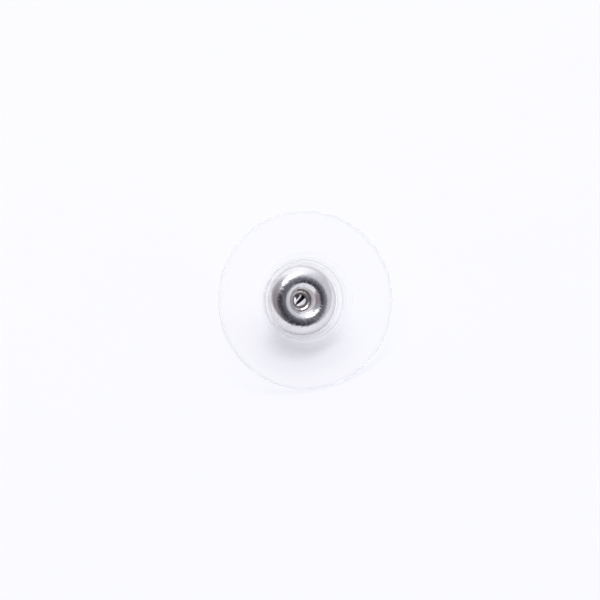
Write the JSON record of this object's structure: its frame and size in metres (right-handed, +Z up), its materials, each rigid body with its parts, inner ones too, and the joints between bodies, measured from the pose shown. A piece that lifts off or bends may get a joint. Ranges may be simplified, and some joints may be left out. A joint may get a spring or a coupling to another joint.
{
  "type": "bullet clutch earring back with clear disc",
  "caption": "Earring back: a polished metal bullet clutch held in the collar of a clear comfort disc, with a funnel that guides an earring post into its grip sleeve.",
  "frame": {"origin": "bottom centre of the box, on the surface that the earring back lies on", "axes": "+Z up from the surface that it lies on. The ear side looks up and forward, 30 degrees from -Y towards +X as seen from above, and the tail lies behind it"},
  "size_m": [0.0104, 0.0092, 0.0073],
  "materials": {
    "clear_plastic": "gloss",
    "polished_metal": "polished",
    "sleeve_metal": "polished"
  },
  "bodies": {
    "root": {"comfort_disc": "clear_plastic", "bullet_shell": "polished_metal", "grip_sleeve": "sleeve_metal"}
  },
  "joints": []
}
